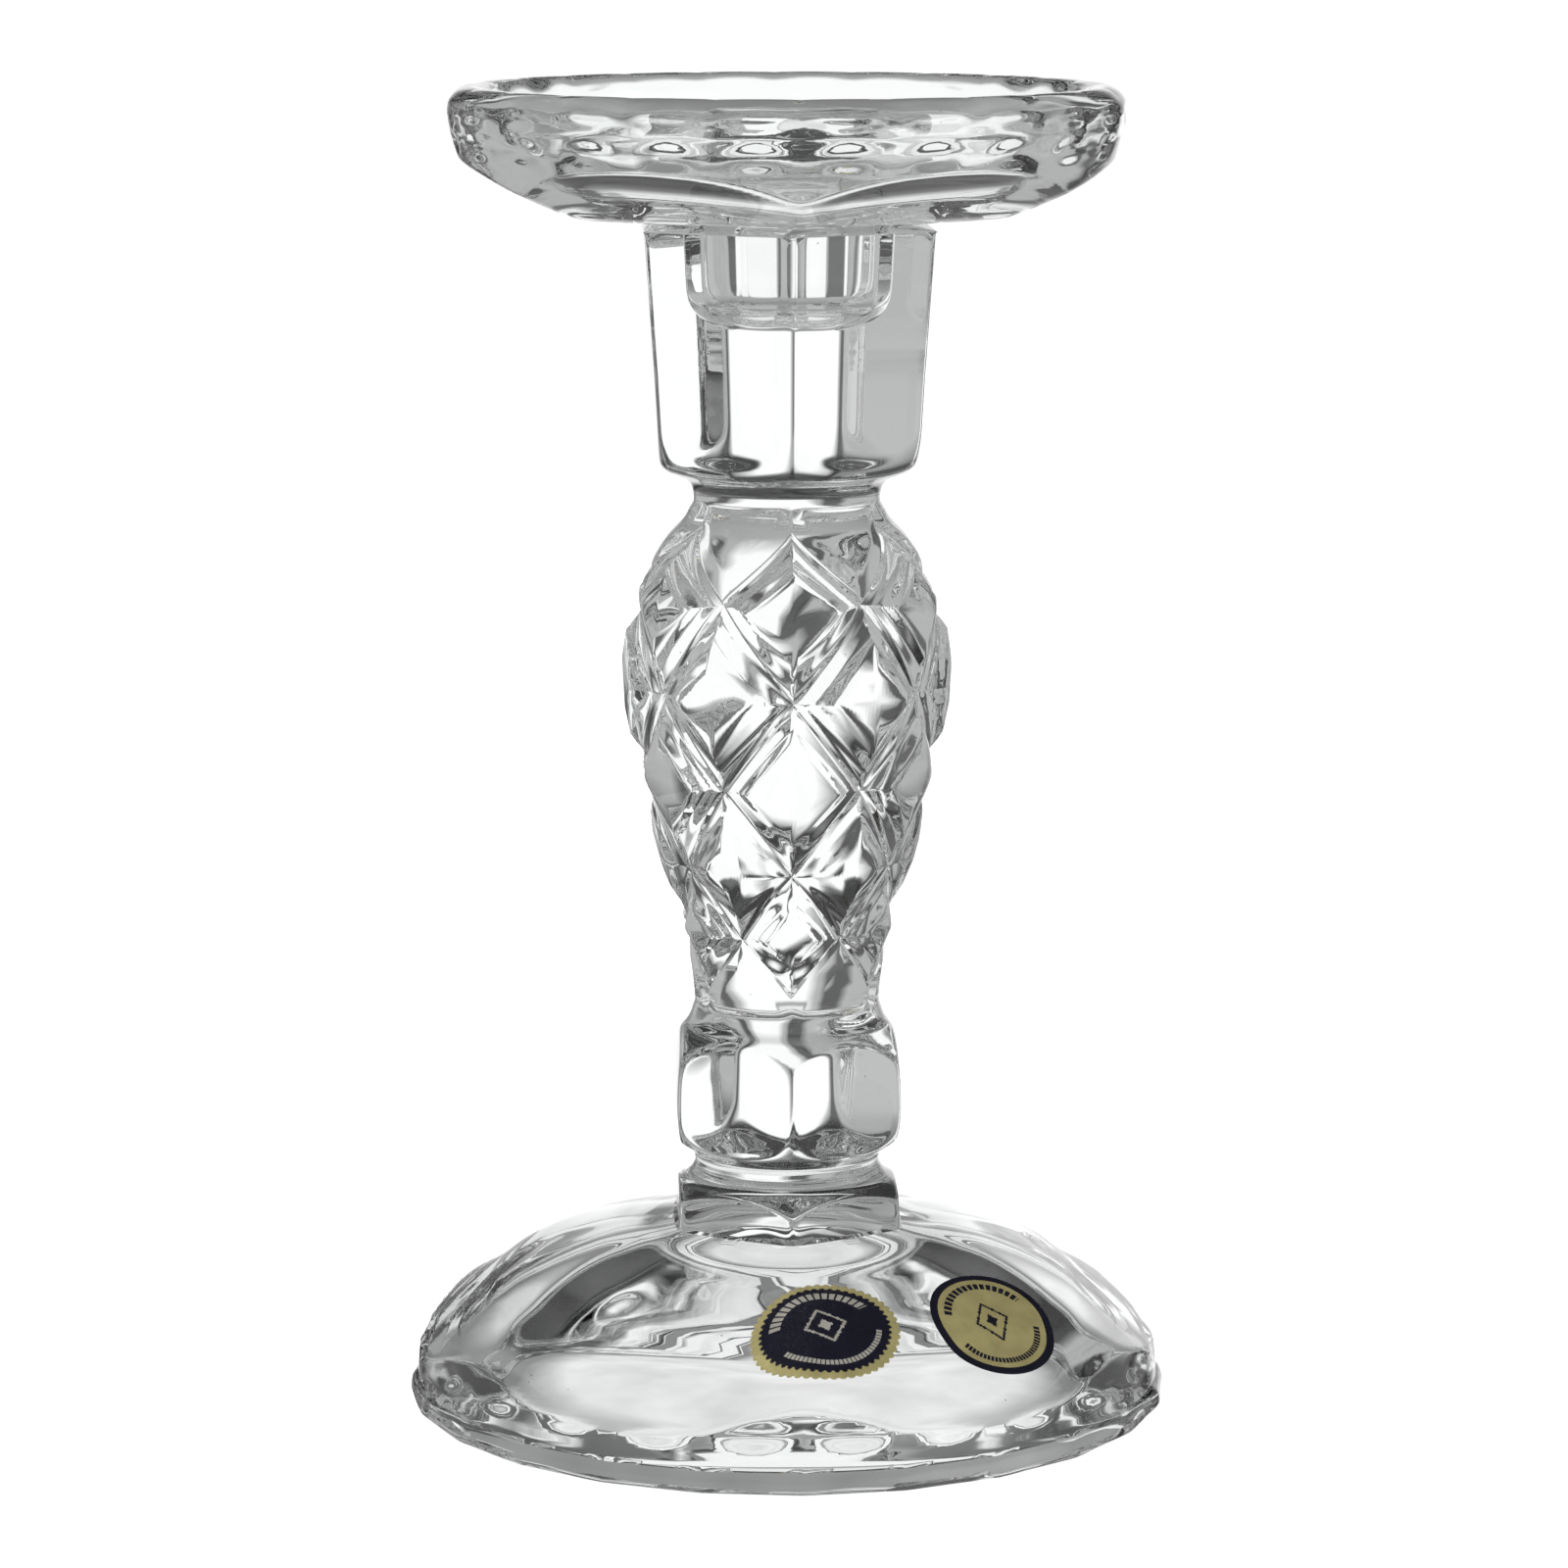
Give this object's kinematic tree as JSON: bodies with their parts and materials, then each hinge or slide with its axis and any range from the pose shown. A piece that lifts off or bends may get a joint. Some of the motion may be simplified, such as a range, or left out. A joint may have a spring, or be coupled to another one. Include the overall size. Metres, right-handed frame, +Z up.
{
  "type": "glass candlestick",
  "caption": "Pressed clear crystal candlestick with a round drip dish, fluted candle socket, hexagonal cup, diamond-patterned baluster stem and hollow domed foot.",
  "frame": {"origin": "centre of the resting ring under the foot, on the plane that the candlestick stands on", "axes": "+Z up along the axis of the stem; one corner of the hexagonal sections points along -Y, the side with the labels"},
  "size_m": [0.1086, 0.1086, 0.186],
  "materials": {
    "clear_crystal": "fire-polished clear lead crystal",
    "dark_foil": "dark printed foil paper with a gold edge",
    "gold_foil": "satin gold foil with a black printed ring"
  },
  "bodies": {
    "root": {"glass_body": "clear_crystal", "oval_label": "dark_foil", "round_label": "gold_foil"}
  },
  "joints": []
}
